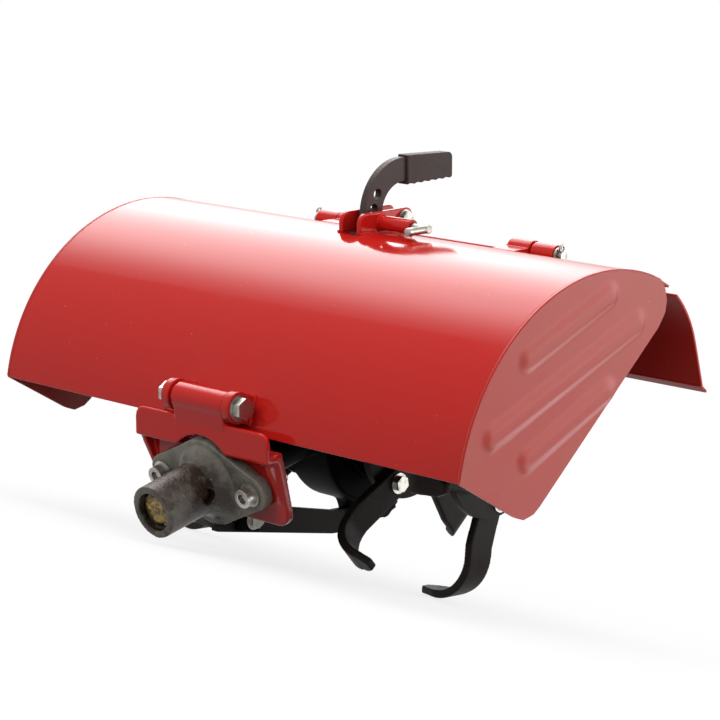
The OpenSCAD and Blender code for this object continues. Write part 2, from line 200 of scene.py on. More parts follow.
def makeIron(look):
    material, tree, output, place = startMaterial(look["name"])
    stain = addNode(
        tree, "ShaderNodeTexNoise", {"Scale": lumpScale / look["stainMm"], "Detail": 6.0, "Roughness": 0.62},
        {"Vector": place}).outputs["Fac"]
    away = addNode(tree, "ShaderNodeVectorMath", {"operation": "LENGTH"}, {0: place}).outputs["Value"]
    # painted shade: more of the oil colour near the spigot's end, less on the flange
    spigotShade = addNode(
        tree, "ShaderNodeMapRange", {
            "From Min": look["shadeNear"], "From Max": look["shadeFar"], "To Min": 0.1, "To Max": -0.05},
        {"Value": away}).outputs[0]
    stainAndShade = addNode(tree, "ShaderNodeMath", {"operation": "ADD"}, {0: stain, 1: spigotShade}).outputs[0]
    oilAndShade = addNode(
        tree, "ShaderNodeMapRange", {"From Min": 0.40, "From Max": 0.62}, {"Value": stainAndShade}).outputs[0]
    trace = addNode(
        tree, "ShaderNodeTexNoise", {"Scale": lumpScale / look["traceMm"], "Detail": 5.0},
        {"Vector": place}).outputs["Fac"]
    green = addNode(
        tree, "ShaderNodeMapRange", {"From Min": 0.60, "From Max": 0.70, "To Max": 0.55},
        {"Value": trace}).outputs[0]
    worn = addNode(
        tree, "ShaderNodeTexNoise", {"Scale": lumpScale / look["rubMm"], "Detail": 4.0, "Roughness": 0.7},
        {"Vector": place}).outputs["Fac"]
    rub = addNode(
        tree, "ShaderNodeMapRange", {"From Min": 0.66, "From Max": 0.74, "To Max": 0.6},
        {"Value": worn}).outputs[0]
    base = addNode(
        tree, "ShaderNodeMix", {"data_type": "RGBA", 6: linearColour(look["colour"]), 7: linearColour(look["oilAndShade"])},
        {0: oilAndShade}).outputs[2]
    primed = addNode(
        tree, "ShaderNodeMix", {"data_type": "RGBA", 7: linearColour(look["primer"])},
        {0: green, 6: base}).outputs[2]
    rubbed = addNode(
        tree, "ShaderNodeMix", {"data_type": "RGBA", 7: linearColour(look["rub"])},
        {0: rub, 6: primed}).outputs[2]
    rough = addNode(tree, "ShaderNodeMapRange", {"To Min": 0.62, "To Max": 0.36}, {"Value": oilAndShade}).outputs[0]
    sand = addNode(
        tree, "ShaderNodeTexNoise", {"Scale": lumpScale / look["sandMm"], "Detail": 4.0},
        {"Vector": place}).outputs["Fac"]
    skin = addNode(tree, "ShaderNodeBump", {"Strength": 0.7, "Distance": 0.001}, {"Height": sand}).outputs[0]
    shader = addNode(
        tree, "ShaderNodeBsdfPrincipled", {"Metallic": 0.35},
        {"Base Color": rubbed, "Roughness": rough, "Normal": skin})
    tree.links.new(shader.outputs[0], output.inputs[0])
    return material


castIron = makeIron(rawIron)


# black paint over forged, rolled or cast steel: matt, faintly uneven, scuffed to grey and brown in places
def makeBlack(look):
    material, tree, output, place = startMaterial(look["name"])
    patch = addNode(
        tree, "ShaderNodeTexNoise", {"Scale": lumpScale / look["patchMm"], "Detail": 7.0, "Roughness": 0.66},
        {"Vector": place}).outputs["Fac"]
    scuff = addNode(
        tree, "ShaderNodeMapRange", {"From Min": 0.50, "From Max": 0.72, "To Max": 0.85},
        {"Value": patch}).outputs[0]
    tone = addNode(
        tree, "ShaderNodeMix", {"data_type": "RGBA", 6: linearColour(look["colour"]), 7: linearColour(look["scuff"])},
        {0: scuff}).outputs[2]
    rough = addNode(
        tree, "ShaderNodeMapRange", {"To Min": look["roughness"], "To Max": look["roughness"] + 0.15},
        {"Value": scuff}).outputs[0]
    grain = addNode(
        tree, "ShaderNodeTexNoise", {"Scale": lumpScale / look["grainMm"], "Detail": 3.0},
        {"Vector": place}).outputs["Fac"]
    skin = addNode(tree, "ShaderNodeBump", {"Strength": 0.22, "Distance": 0.0006}, {"Height": grain}).outputs[0]
    shader = addNode(
        tree, "ShaderNodeBsdfPrincipled", {"IOR": 1.5, "Specular IOR Level": look["gloss"]},
        {"Base Color": tone, "Roughness": rough, "Normal": skin})
    tree.links.new(shader.outputs[0], output.inputs[0])
    return material


blackSteel = makeBlack({
    "name": "mattBlackForgedSteel", "colour": "#272220", "scuff": "#3B342F",
    "roughness": 0.46, "gloss": 0.07, "patchMm": 16, "grainMm": 2.2})
blackCasting = makeBlack({
    "name": "satinBlackCasting", "colour": "#080807", "scuff": "#10100E",
    "roughness": 0.42, "gloss": 0.02, "patchMm": 40, "grainMm": 1.8})
leverSteel = makeBlack({
    "name": "darkGreyLeverBar", "colour": "#463C3A", "scuff": "#544946",
    "roughness": 0.42, "gloss": 0.1, "patchMm": 12, "grainMm": 1.5})
gripPlastic = makeBlack({
    "name": "mouldedGripPvc", "colour": "#463E3B", "scuff": "#4E4642",
    "roughness": 0.55, "gloss": 0.12, "patchMm": 8, "grainMm": 0.9})


# plated and machined steel: soft shine, slightly blotchy
def makeMetal(look):
    material, tree, output, place = startMaterial(look["name"])
    patch = addNode(
        tree, "ShaderNodeTexNoise", {"Scale": lumpScale / look["patchMm"], "Detail": 4.0},
        {"Vector": place}).outputs["Fac"]
    blotch = addNode(
        tree, "ShaderNodeMapRange", {"From Min": 0.4, "From Max": 0.7}, {"Value": patch}).outputs[0]
    tone = addNode(
        tree, "ShaderNodeMix", {
            "data_type": "RGBA", 6: linearColour(look["colour"]), 7: linearColour(look["blotch"])},
        {0: blotch}).outputs[2]
    rough = addNode(
        tree, "ShaderNodeMapRange", {"To Min": look["roughness"], "To Max": look["roughness"] + 0.18},
        {"Value": blotch}).outputs[0]
    shader = addNode(
        tree, "ShaderNodeBsdfPrincipled", {"Metallic": look["metallic"]},
        {"Base Color": tone, "Roughness": rough})
    tree.links.new(shader.outputs[0], output.inputs[0])
    return material


zinc = makeMetal({
    "name": "zincPlatedSteel", "colour": "#B2B0AA", "blotch": "#8C887E",
    "roughness": 0.3, "patchMm": 5, "metallic": 1.0})
greased = makeMetal({
    "name": "greasedMachinedSteel", "colour": "#7D6434", "blotch": "#4C3A20",
    "roughness": 0.24, "patchMm": 7, "metallic": 0.6})
# the grease's dark brown blotches are painted shade, scattered at random and standing in for the shade between its
# lumps
grease = makeMetal({
    "name": "amberGrease", "colour": "#A88C38", "blotch": "#3F2B0F",
    "roughness": 0.12, "patchMm": 4, "metallic": 0.0})
print("materials made")

finishes = {
    "red_paint": redEnamel, "black_casting": blackCasting, "black_steel": blackSteel, "raw_casting": castIron,
    "greased_steel": greased, "zinc": zinc, "grip_plastic": gripPlastic,
}
for name, item in frame["nodes"].items():
    item.data.materials.clear()
    item.data.materials.append({"depth_lever": leverSteel, "flap": flapEnamel}.get(name, finishes[slotOfNode[name]]))
print("CAD nodes finished")


def addPiece(name, mesh, body, replaced=()):
    piece = bpy.data.objects.new(name, mesh)
    scene.collection.objects.link(piece)
    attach(piece, body)
    if replaced:
        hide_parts(*replaced)
    return piece


def bakeMesh(item, name):  # the evaluated shape as a plain mesh; the working object goes
    bpy.context.view_layer.update()
    mesh = bpy.data.meshes.new_from_object(item.evaluated_get(bpy.context.evaluated_depsgraph_get()))
    mesh.name = name
    item.modifiers.clear()
    bpy.data.objects.remove(item)
    return mesh


# eased edges: rolled and turned parts, with their sharp edges broken by this many millimetres
# merge is in metres, flat and sharp in degrees
bevels = {"merge": 1e-5, "flat": 0.2, "sharp": 33, "segments": 2, "weight": 60}
easing = {
    "hood_shell": 0.7, "flap": 0.49, "hood_ears": 1.2, "hood_knuckles": 0.7, "flap_knuckles": 0.7, "pin_tube": 0.8,
    "depth_lever": 0.45, "lever_grip": 1.26, "flange_screws": 0.7, "flap_pins": 0.8, "axle": 1.2, "input_shaft": 0.7,
    "hinge_bolt": 0.35, "skid_bolts": 0.21, "tine_bolts_left": 0.21, "tine_bolts_right": 0.2, "guide_bolt": 0.2,
    "lever_pivot": 0.24, "reel_left": 0.45, "reel_right": 0.45, "depth_skid": 0.28,
}

# softened forms: castings, forgings and weldments, rebuilt on a grid of this many millimetres and smoothed this often
softening = {
    "gear_case": (1.5, 6), "coupling_flange": (1.0, 5), "hood_bracket": (1.0, 10), "bearing_cap_left": (1.2, 4),
    "bearing_cap_right": (1.2, 4), "tines_left_inner": (0.85, 14), "tines_left_outer": (0.85, 14),
    "tines_right_inner": (0.85, 14), "tines_right_outer": (0.85, 14), "lever_guides": (0.8, 4), "lock_pin": (0.6, 3),
}


def copyNode(node):  # a merged copy of a node's solid as a working object
    work = bmesh.new()
    work.from_mesh(frame["nodes"][node].data)
    bmesh.ops.remove_doubles(work, verts=work.verts, dist=bevels["merge"])
    mesh = bpy.data.meshes.new(node + "Work")
    work.to_mesh(mesh)
    work.free()
    mesh.materials.append(frame["nodes"][node].data.materials[0])
    item = bpy.data.objects.new(node + "Work", mesh)
    scene.collection.objects.link(item)
    return item


def easeNode(node, width):
    item = copyNode(node)
    work = bmesh.new()
    work.from_mesh(item.data)
    bmesh.ops.dissolve_limit(work, angle_limit=math.radians(bevels["flat"]), verts=work.verts, edges=work.edges)
    work.to_mesh(item.data)
    work.free()
    item.data.shade_smooth()
    edge = item.modifiers.new("easedEdges", "BEVEL")
    edge.width = width / 1000
    edge.segments = bevels["segments"]
    edge.limit_method = "ANGLE"
    edge.angle_limit = math.radians(bevels["sharp"])
    edge.use_clamp_overlap = False
    item.modifiers.new("flatFaces", "WEIGHTED_NORMAL").weight = bevels["weight"]
    addPiece(node + "_eased", bakeMesh(item, node + "_eased"), bodyOfNode[node], [node])


def softenNode(node, grid, rounds):
    item = copyNode(node)
    skin = item.modifiers.new("evenSkin", "REMESH")
    skin.mode = "VOXEL"
    skin.voxel_size = grid / 1000
    skin.use_smooth_shade = True
    smooth = item.modifiers.new("softEdges", "SMOOTH")
    smooth.factor = 0.5
    smooth.iterations = rounds
    mesh = bakeMesh(item, node + "_softened")
    mesh.materials.clear()
    mesh.materials.append(frame["nodes"][node].data.materials[0])
    addPiece(node + "_softened", mesh, bodyOfNode[node], [node])


for name, width in easing.items():
    easeNode(name, width)
for name, (grid, rounds) in softening.items():
    softenNode(name, grid, rounds)
print("edges eased:", len(easing) + len(softening), "nodes")

# end panels: one pressed sheet each, with three soft swages standing out, steeper below than above
panels = {
    "ribs": [((-99, 124), (8, 165)), ((-145, 63), (47, 135)), ((-100, 36), (6, 80))],
    "flat": 3, "reachBelow": 11, "reachAbove": 17, "height": 1.9,
    "rows": 130, "columns": 150, "low": -13.99, "topGap": 0.01,
    "corners": [(-186.62, 32.91), (-115, -10), (-104, -14), (-92, -12), (-84, -7),
                (77, 129), (86, 141), (88, 152), (85, 164), (76, 176), (60, 200), (-250, 200)],
}


def pressedHeight(y, z):
    best = 0.0
    for (ay, az), (by, bz) in panels["ribs"]:
        span = Vector((by - ay, bz - az))
        t = max(0.0, min(1.0, Vector((y - ay, z - az)).dot(span) / span.length_squared))
        offset = Vector((y - ay, z - az)) - span * t
        away = max(offset.length, 1e-6)
        above = 0.5 + 0.5 * offset.dot(Vector((-span.y, span.x))) / (span.length * away)
        reach = panels["reachBelow"] + (panels["reachAbove"] - panels["reachBelow"]) * above
        rise = max(0.0, min(1.0, (reach - away) / (reach - panels["flat"])))
        best = max(best, rise * rise * (3 - 2 * rise))
    return best * panels["height"]


def panelSpan(z):  # where the sheet starts and ends at this height
    radius = layout["hoodRadius"]
    half = math.sqrt(max(radius * radius - z * z, 0))
    crossings = []
    points = panels["corners"]
    for (ay, az), (by, bz) in zip(points, points[1:] + points[:1]):
        if (az - z) * (bz - z) <= 0 and az != bz:
            crossings.append(ay + (by - ay) * (z - az) / (bz - az))
    return max(min(crossings), -half), min(max(crossings), half)


def makePanel(sideSign, node):
    low, high = panels["low"], layout["hoodRadius"] - panels["topGap"]
    rows, columns = panels["rows"], panels["columns"]
    work = bmesh.new()
    sheets = []
    for inset in (0.0, layout["sheet"]):
        grid = []
        for i in range(rows + 1):
            z = low + (high - low) * math.sin(math.pi / 2 * i / rows)
            start, end = panelSpan(z)
            line = []
            for j in range(columns + 1):
                y = start + (end - start) * j / columns
                x = layout["halfWidth"] - inset + pressedHeight(y, z)
                line.append(work.verts.new(spot(sideSign * x, y, z)))
            grid.append(line)
        sheets.append(grid)
        for i in range(rows):
            for j in range(columns):
                work.faces.new((grid[i][j], grid[i][j + 1], grid[i + 1][j + 1], grid[i + 1][j]))
    outer, inner = sheets
    rim = [(i, 0) for i in range(rows + 1)] + [(rows, j) for j in range(1, columns + 1)]
    rim += [(i, columns) for i in range(rows - 1, -1, -1)] + [(0, j) for j in range(columns - 1, 0, -1)]
    for (i, j), (k, m) in zip(rim, rim[1:] + rim[:1]):
        work.faces.new((outer[i][j], outer[k][m], inner[k][m], inner[i][j]))
    bmesh.ops.remove_doubles(work, verts=work.verts, dist=2e-6)
    bmesh.ops.recalc_face_normals(work, faces=work.faces)
    mesh = bpy.data.meshes.new(node + "_pressed")
    work.to_mesh(mesh)
    work.free()
    mesh.materials.append(dustAndSheenEnamel)
    mesh.shade_smooth()
    mesh.set_sharp_from_angle(angle=math.radians(creaseAngle))
    addPiece(node + "_pressed", mesh, "hood", [node])


makePanel(-1, "end_panel_left")
makePanel(1, "end_panel_right")
print("end panels pressed")


def startTree(name, sizes):  # a geometry tree with named sizes in metres
    tree = bpy.data.node_groups.new(name, "GeometryNodeTree")
    tree.interface.new_socket("Geometry", in_out="INPUT", socket_type="NodeSocketGeometry")
    for label, size in sizes.items():
        socket = tree.interface.new_socket(label, in_out="INPUT", socket_type="NodeSocketFloat")
        socket.default_value = size
    tree.interface.new_socket("Geometry", in_out="OUTPUT", socket_type="NodeSocketGeometry")
    return tree, addNode(tree, "NodeGroupInput"), addNode(tree, "NodeGroupOutput")


def growMesh(item, tree, sizes, name):  # set the sizes by identifier, then keep the plain mesh
    grown = item.modifiers.new(tree.name, "NODES")
    grown.node_group = tree
    for socket in tree.interface.items_tree:
        if socket.in_out == "INPUT" and socket.name in sizes:
            grown[socket.identifier] = sizes[socket.name]
    return bakeMesh(item, name)


def joinMeshes(name, meshes):
    work = bmesh.new()
    for mesh in meshes:
        work.from_mesh(mesh)
    joined = bpy.data.meshes.new(name)
    for material in meshes[0].materials:
        joined.materials.append(material)
    work.to_mesh(joined)
    work.free()
    joined.shade_smooth()
    joined.set_sharp_from_angle(angle=math.radians(creaseAngle))
    return joined


# flat washers under the bolt heads and nuts, turned to each bolt's axis
def makeWasherTree(material):
    tree, start, end = startTree("washers", {"Inner": 0.005, "Outer": 0.009, "Thickness": 0.0014})
    middle = addNode(
        tree, "ShaderNodeMath", {"operation": "ADD"},
        {0: start.outputs["Inner"], 1: start.outputs["Outer"]})
    radius = addNode(tree, "ShaderNodeMath", {"operation": "MULTIPLY", 1: 0.5}, {0: middle.outputs[0]})
    width = addNode(
        tree, "ShaderNodeMath", {"operation": "SUBTRACT"},
        {0: start.outputs["Outer"], 1: start.outputs["Inner"]})
    ring = addNode(tree, "GeometryNodeCurvePrimitiveCircle", {"Resolution": 40}, {"Radius": radius.outputs[0]})
    section = addNode(
        tree, "GeometryNodeCurvePrimitiveQuadrilateral", {},
        {"Width": width.outputs[0], "Height": start.outputs["Thickness"]})
    washer = addNode(
        tree, "GeometryNodeCurveToMesh", {},
        {"Curve": ring.outputs[0], "Profile Curve": section.outputs[0]})
    axis = addNode(tree, "GeometryNodeInputNamedAttribute", {"data_type": "FLOAT_VECTOR", "Name": "axis"})
    turn = addNode(tree, "FunctionNodeAlignRotationToVector", {"axis": "Z"}, {"Vector": axis.outputs[0]})
    points = addNode(tree, "GeometryNodeMeshToPoints", {}, {"Mesh": start.outputs["Geometry"]})
    placed = addNode(
        tree, "GeometryNodeInstanceOnPoints", {},
        {"Points": points.outputs[0], "Instance": washer.outputs[0], "Rotation": turn.outputs[0]})
    solid = addNode(tree, "GeometryNodeRealizeInstances", {}, {0: placed.outputs[0]})
    painted = addNode(tree, "GeometryNodeSetMaterial", {"Material": material}, {"Geometry": solid.outputs[0]})
    tree.links.new(painted.outputs[0], end.inputs[0])
    return tree


def makeWashers(tree, places, sizes, name):  # places: (spot, axis) pairs
    mesh = bpy.data.meshes.new(name + "Points")
    mesh.from_pydata([p for p, a in places], [], [])
    axis = mesh.attributes.new("axis", "FLOAT_VECTOR", "POINT")
    for row, (p, a) in zip(axis.data, places):
        row.vector = a
    item = bpy.data.objects.new(name + "Points", mesh)
    scene.collection.objects.link(item)
    return growMesh(item, tree, {label: size / 1000 for label, size in sizes.items()}, name)


acrossX = Vector((1, 0, 0))
washerTree = makeWasherTree(zinc)
outward = (alongCoupling(0, 0, 1) - alongCoupling(0, 0, 0)).normalized()
hingeY = layout["hingeRadius"] * math.cos(math.radians(layout["hingeAngle"]))
hingeZ = layout["hingeRadius"] * math.sin(math.radians(layout["hingeAngle"]))
chassisWashers = [
    ("hinge", [(spot(x, hingeY, hingeZ), acrossX) for x in (-45, 45)],
     {"Inner": 6.2, "Outer": 12.5, "Thickness": 0.9}),
    ("flange", [(alongCoupling(x, 0, 12.9), outward) for x in (-58, 58)],
     {"Inner": 7.0, "Outer": 11.5, "Thickness": 1.8}),
    ("skid", [(spot(x, -148, -60), acrossX) for x in (-10.8, 10.8)], {"Inner": 5.0, "Outer": 9.8, "Thickness": 1.6}),
    ("heel", [(spot(x, 0, -83), acrossX) for x in (-10.8, 10.8)], {"Inner": 4.0, "Outer": 9.0, "Thickness": 1.6}),
    ("pivot", [(spot(x, -12, 92), acrossX) for x in (-17.8, 17.8)], {"Inner": 6.0, "Outer": 12.4, "Thickness": 1.6}),
]
made = [makeWashers(washerTree, places, sizes, name + "Washers") for name, places, sizes in chassisWashers]
addPiece("chassisWashers", joinMeshes("chassisWashers", made), "chassis")

guideWashers = makeWashers(
    washerTree, [(spot(x, 49, 198), acrossX) for x in (-14.7, 14.7)],
    {"Inner": 4.0, "Outer": 9.0, "Thickness": 1.4}, "guideWashers")
flapTurn = math.radians(layout["flapAngle"])
flapY, flapZ = layout["flapRadius"] * math.cos(flapTurn), layout["flapRadius"] * math.sin(flapTurn)
pinWashers = makeWashers(
    washerTree, [(spot(x, flapY, flapZ), acrossX) for x in (-157.4, 157.4)],
    {"Inner": 4.6, "Outer": 8.6, "Thickness": 1.6}, "pinWashers")
addPiece("hoodWashers", joinMeshes("hoodWashers", [guideWashers, pinWashers]), "hood")

# tine bolts: four to a flange, each tine leaning to one side of it
reelBolts = {
    "y": 13, "z": -42, "flange": 8, "tine": 8, "washerHalf": 0.7,
    "sets": [(-64, 1, 45), (-170, -1, 0), (64, -1, 45), (170, -1, 0)],  # place along X, lean, turn
}


def boltSpots():
    spots = []
    for x, lean, turn in reelBolts["sets"]:
        for k in range(4):
            side = lean if k < 2 else -lean
            angle = math.radians(layout["reelTurn"] + turn + 90 * k)
            y = reelBolts["y"] * math.cos(angle) - reelBolts["z"] * math.sin(angle)
            z = reelBolts["y"] * math.sin(angle) + reelBolts["z"] * math.cos(angle)
            low = x - reelBolts["flange"] / 2 - (reelBolts["tine"] if side < 0 else 0)
            high = low + reelBolts["flange"] + reelBolts["tine"]
            half = reelBolts["washerHalf"]
            spots += [(spot(low - half, y, z), acrossX), (spot(high + half, y, z), acrossX)]
    return spots


reelWashers = makeWashers(washerTree, boltSpots(), {"Inner": 5.0, "Outer": 10.0, "Thickness": 1.4}, "reelWashers")
addPiece("reelWashers", joinMeshes("reelWashers", [reelWashers]), "rotor")
print("washers placed")


# weld beads: a rippled run of metal along a joint
def makeWeldTree(material):
    tree, start, end = startTree("weldBead", {"Width": 0.004, "Spacing": 0.0016})
    even = addNode(
        tree, "GeometryNodeResampleCurve", {"mode": "LENGTH"},
        {"Curve": start.outputs["Geometry"], "Length": start.outputs["Spacing"]})
    ripple = addNode(tree, "FunctionNodeRandomValue", {"data_type": "FLOAT", 2: 0.72, 3: 1.18, "Seed": 7})
    half = addNode(tree, "ShaderNodeMath", {"operation": "MULTIPLY", 1: 0.5}, {0: start.outputs["Width"]})
    section = addNode(tree, "GeometryNodeCurvePrimitiveCircle", {"Resolution": 9}, {"Radius": half.outputs[0]})
    bead = addNode(
        tree, "GeometryNodeCurveToMesh", {"Fill Caps": True},
        {"Curve": even.outputs[0], "Profile Curve": section.outputs[0], "Scale": ripple.outputs[1]})
    whole = addNode(tree, "GeometryNodeRealizeInstances", {}, {0: bead.outputs[0]})
    painted = addNode(tree, "GeometryNodeSetMaterial", {"Material": material}, {"Geometry": whole.outputs[0]})
    tree.links.new(painted.outputs[0], end.inputs[0])
    return tree


def makePath(name, lines, closed=False):
    curve = bpy.data.curves.new(name, "CURVE")
    curve.dimensions = "3D"
    for line in lines:
        spline = curve.splines.new("POLY")
        spline.points.add(len(line) - 1)
        for point, place in zip(spline.points, line):
            point.co = (*place, 1)
        spline.use_cyclic_u = closed
    item = bpy.data.objects.new(name, curve)
    scene.collection.objects.link(item)
    return item


def arcLine(x, radius, first, last, centre=(0, 0), steps=24):
    return [around(x, radius, first + (last - first) * i / steps, centre) for i in range(steps + 1)]


redWeld = makeWeldTree(redEnamel)
welds = {
    "lift": 0.4, "earX": (-45.2, -34.8, 34.8, 45.2), "earReach": 4.2,
    "guideX": (-14.6, 14.6), "guideArc": (93.6, 71.5),
    "strapX": (100, 113, 127), "strapPlace": (77.2, 173.9), "strapSideX": (99.6, 127.4), "strapArc": (65.6, 62.2),
    "tubeX": 14.4, "tubeRadius": 7.4, "tubePlace": (18, 198), "turn": 352, "flapX": (129, 142, 156), "flapLift": 0.5,
    "flapAngle": 36.4, "bracketX": 78.4, "bracketLine": ((-202, 13.6), (-195, 13.6), (-190, 13.2)),
    "reelX": (64, 170), "reelOff": 4.6, "reelRadius": 24.6,
}
beadSizes = {"Width": 0.0034, "Spacing": 0.0015}
tubeBead = {"Width": 0.0026, "Spacing": 0.0013}
reelBead = {"Width": 0.005, "Spacing": 0.002}
hoodR = layout["hoodRadius"]
weldR = hoodR + welds["lift"]
hoodWelds = []
for x in welds["earX"]:  # both faces of the front ears
    middle, reach = layout["hingeAngle"], welds["earReach"]
    hoodWelds.append(arcLine(x, weldR, middle - reach, middle + reach))
for x in welds["guideX"]:  # outer faces of the lever guides
    hoodWelds.append(arcLine(x, weldR, *welds["guideArc"]))
for s in (-1, 1):  # front edge and sides of the knuckle straps
    hoodWelds.append([spot(s * x, *welds["strapPlace"]) for x in welds["strapX"]])
    hoodWelds += [arcLine(s * x, weldR, *welds["strapArc"]) for x in welds["strapSideX"]]
hoodMesh = growMesh(makePath("hoodWeldPath", hoodWelds), redWeld, beadSizes, "hoodWelds")
addPiece("hoodWelds", joinMeshes("hoodWelds", [hoodMesh]), "hood")

tubeLine = arcLine(welds["tubeX"], welds["tubeRadius"], 0, welds["turn"], welds["tubePlace"], 40)
tubeMesh = growMesh(makePath("tubeWeldPath", [tubeLine], True), redWeld, tubeBead, "tubeWeld")
addPiece("tubeWeld", joinMeshes("tubeWeld", [tubeMesh]), "hood")

flapR = layout["flapBend"] + welds["flapLift"]
flapWelds = [[around(s * x, flapR, welds["flapAngle"], layout["flapCentre"]) for x in welds["flapX"]]
             for s in (-1, 1)]
flapMesh = growMesh(makePath("flapWeldPath", flapWelds), redWeld, beadSizes, "flapWelds")
addPiece("flapWelds", joinMeshes("flapWelds", [flapMesh]), "flap")

bracketWelds = [[spot(s * welds["bracketX"], y, z) for y, z in welds["bracketLine"]] for s in (-1, 1)]
bracketMesh = growMesh(makePath("bracketWeldPath", bracketWelds), redWeld, beadSizes, "bracketWelds")
addPiece("bracketWelds", joinMeshes("bracketWelds", [bracketMesh]), "chassis")

blackWeld = makeWeldTree(blackSteel)
reelWelds = [arcLine(s * (x + side * welds["reelOff"]), welds["reelRadius"], 0, welds["turn"], (0, 0), 44)
             for s in (-1, 1) for x in welds["reelX"] for side in (-1, 1)]
reelMesh = growMesh(makePath("reelWeldPath", reelWelds, True), blackWeld, reelBead, "reelWelds")
addPiece("reelWelds", joinMeshes("reelWelds", [reelMesh]), "rotor")
print("welds laid")

# split pins through the outer ends of the flap pins
splitPins = {"place": 160.2, "wire": 1.1, "eye": 3.2, "reach": 6.5}


def makeWireTree(material):
    tree, start, end = startTree("wire", {"Radius": 0.001})
    smooth = addNode(
        tree, "GeometryNodeResampleCurve", {"mode": "LENGTH", "Length": 0.0007},
        {"Curve": start.outputs["Geometry"]})
    section = addNode(
        tree, "GeometryNodeCurvePrimitiveCircle", {"Resolution": 10},
        {"Radius": start.outputs["Radius"]})
    tube = addNode(
        tree, "GeometryNodeCurveToMesh", {"Fill Caps": True},
        {"Curve": smooth.outputs[0], "Profile Curve": section.outputs[0]})
    whole = addNode(tree, "GeometryNodeRealizeInstances", {}, {0: tube.outputs[0]})
    painted = addNode(tree, "GeometryNodeSetMaterial", {"Material": material}, {"Geometry": whole.outputs[0]})
    tree.links.new(painted.outputs[0], end.inputs[0])
    return tree


def splitPinLine(s):
    pinY, pinZ = flapY, flapZ
    x, eyeR, reach = splitPins["place"], splitPins["eye"], splitPins["reach"]
    line = [spot(s * (x + 3.5), pinY + 1.6, pinZ - reach - 2.2), spot(s * (x + 0.8), pinY + 0.7, pinZ - reach)]
    for i in range(13):  # the eye stands over the pin
        a = math.radians(-60 + 300 * i / 12)
        line.append(spot(s * x, pinY + eyeR * math.cos(a), pinZ + reach + 1.2 + eyeR * math.sin(a)))
    line += [spot(s * (x - 0.6), pinY - 0.7, pinZ - reach), spot(s * (x - 2.6), pinY - 2.4, pinZ - reach - 1.6)]
    return line


pinPath = makePath("splitPinPath", [splitPinLine(-1), splitPinLine(1)])
pinMesh = growMesh(pinPath, makeWireTree(zinc), {"Radius": splitPins["wire"] / 1000}, "splitPins")
addPiece("splitPins", joinMeshes("splitPins", [pinMesh]), "hood")
print("split pins fitted")

# rolled edges: the seam where sheet meets end panel, and the hem on the flap's turned-up lip
rolls = {"seam": 0.9, "seamInset": 0.5, "seamArc": (169.6, 68.5),
         "hem": 2.2, "hemReach": 122.4, "hemAngle": 46.9, "hemHalf": 89}
redWire = makeWireTree(redEnamel)
seamX, seamR = layout["halfWidth"] - rolls["seamInset"], hoodR - rolls["seamInset"]
seamPaths = [arcLine(s * seamX, seamR, *rolls["seamArc"], (0, 0), 90) for s in (-1, 1)]
seamMesh = growMesh(makePath("seamPath", seamPaths), redWire, {"Radius": rolls["seam"] / 1000}, "hoodSeams")
addPiece("hoodSeams", joinMeshes("hoodSeams", [seamMesh]), "hood")
hemPath = [around(x, rolls["hemReach"], rolls["hemAngle"], layout["flapCentre"])
           for x in (-rolls["hemHalf"], 0, rolls["hemHalf"])]
hemMesh = growMesh(makePath("hemPath", [hemPath]), redWire, {"Radius": rolls["hem"] / 1000}, "flapHem")
addPiece("flapHem", joinMeshes("flapHem", [hemMesh]), "flap")
print("edges rolled")

# grease packed on the end of the drive dog, lumpy and heaped over its slot
packing = {"out": 73.4, "radius": 14.2, "depth": 3.6, "lumpMm": 5, "lump": 1.9, "rings": 22, "spokes": 64}


def makeGrease(look):
    work = bmesh.new()
    rings = []
    for i in range(1, look["rings"] + 1):
        ring = []
        for j in range(look["spokes"]):
            a = 2 * math.pi * j / look["spokes"]
            edge = look["radius"] * (1 + 0.06 * noise.noise(Vector((math.cos(a), math.sin(a), 0)) * 2.2))
            r = edge * i / look["rings"]
            x, up = r * math.cos(a), r * math.sin(a)
            heap = math.sqrt(max(0.0, 1 - (i / look["rings"]) ** 2))
            lump = noise.fractal(Vector((x, up, 3)) / look["lumpMm"], 0.9, 2.1, 4)
            out = look["out"] - 0.8 + look["depth"] * heap + look["lump"] * lump * (0.3 + heap)
            ring.append(work.verts.new(alongCoupling(x, up, out)))
        rings.append(ring)
    top = work.verts.new(alongCoupling(0, 0, look["out"] + look["depth"] - 0.6))
    foot = work.verts.new(alongCoupling(0, 0, look["out"] - 3))
    count = look["spokes"]
    for j in range(count):
        work.faces.new((top, rings[0][j], rings[0][(j + 1) % count]))
        work.faces.new((foot, rings[-1][(j + 1) % count], rings[-1][j]))
        for i in range(look["rings"] - 1):
            work.faces.new((rings[i][j], rings[i + 1][j], rings[i + 1][(j + 1) % count], rings[i][(j + 1) % count]))
    bmesh.ops.recalc_face_normals(work, faces=work.faces)
    mesh = bpy.data.meshes.new("dogGrease")
    work.to_mesh(mesh)
    work.free()
    mesh.materials.append(grease)
    mesh.shade_smooth()
    addPiece("dogGrease", mesh, "input_shaft")


makeGrease(packing)
print("grease packed")

# pale floor, white surroundings and soft boxes
studio = {"floor": "#F4F4F4", "bounce": "#6A6A6A", "floorHeight": cadBox[0][2] - 0.0005,
          "reach": 14, "floorGlow": 0.8, "fill": 0.78}
